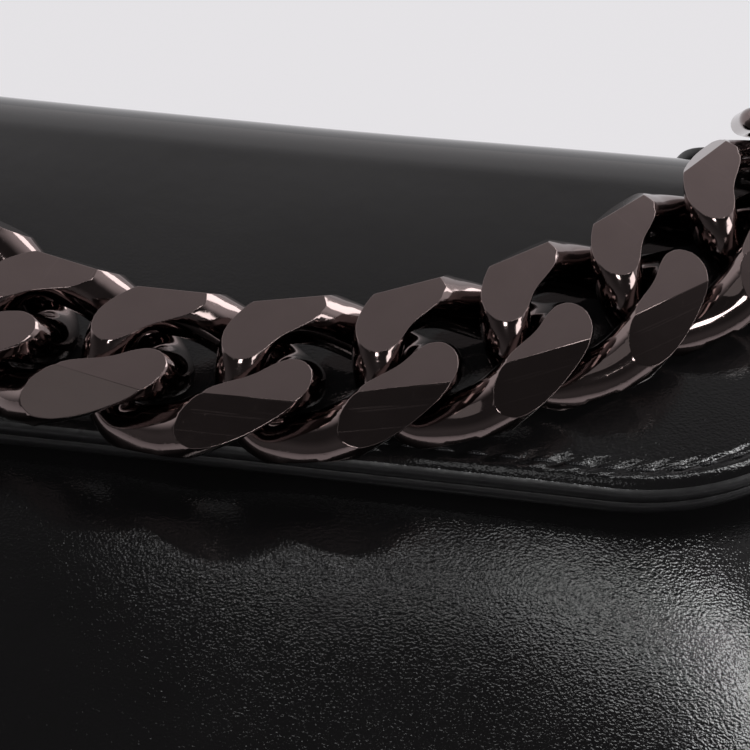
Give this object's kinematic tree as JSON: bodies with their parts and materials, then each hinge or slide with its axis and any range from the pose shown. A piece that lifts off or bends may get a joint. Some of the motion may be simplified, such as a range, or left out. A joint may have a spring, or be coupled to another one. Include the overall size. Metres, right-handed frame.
{
  "type": "belt bag",
  "caption": "Small black leather flap bag worn on a belt through loops on its back, with a heavy polished curb chain hung in a swag across the flap.",
  "frame": {"origin": "middle of the underside of the bag lying on its back, on the outer faces of the belt loops", "axes": "+X across the bag, +Y towards the top edge where the flap folds, +Z out of the front, through the flap and the chain"},
  "size_m": [0.1616, 0.1256, 0.0606],
  "materials": {
    "leather": "fine grain, glossy black",
    "cloth": "plain weave, dark grey",
    "board": "plain stiffener sheet",
    "gunmetal": "black nickel plate, polished"
  },
  "bodies": {
    "bag": {"back_panel": "leather", "front_panel": "leather", "gusset": "leather", "lining": "cloth", "slip_pocket": "cloth", "back_board": "board", "bottom_board": "board", "belt_loop_left": "leather", "belt_loop_right": "leather", "snap_socket": "gunmetal", "snap_socket_washer": "gunmetal"},
    "flap": {"flap_outer": "leather", "flap_lining": "leather", "snap_stud": "gunmetal", "snap_stud_washer": "gunmetal", "anchor_patch_left": "leather", "anchor_patch_right": "leather", "chain_tab_left": "leather", "chain_tab_right": "leather", "tab_rivet_left": "gunmetal", "tab_rivet_right": "gunmetal"},
    "chain": {"chain_link_01": "gunmetal", "chain_link_02": "gunmetal", "chain_link_03": "gunmetal", "chain_link_04": "gunmetal", "chain_link_05": "gunmetal", "chain_link_06": "gunmetal", "chain_link_07": "gunmetal", "chain_link_08": "gunmetal", "chain_link_09": "gunmetal", "chain_link_10": "gunmetal", "chain_link_11": "gunmetal", "square_ring_left": "gunmetal", "square_ring_right": "gunmetal", "jump_ring_left": "gunmetal", "jump_ring_right": "gunmetal"}
  },
  "joints": [
    {"name": "flap_hinge", "type": "hinge", "parent": "bag", "child": "flap", "pos_m": [0, 0.05131, 0.0065], "axis": [-1, 0, 0], "range_deg": [0, 110]},
    {"name": "chain_swing", "type": "hinge", "parent": "flap", "child": "chain", "pos_m": [0, 0.05977, 0.04396], "axis": [-1, 0, 0], "range_deg": [0, 150]}
  ]
}
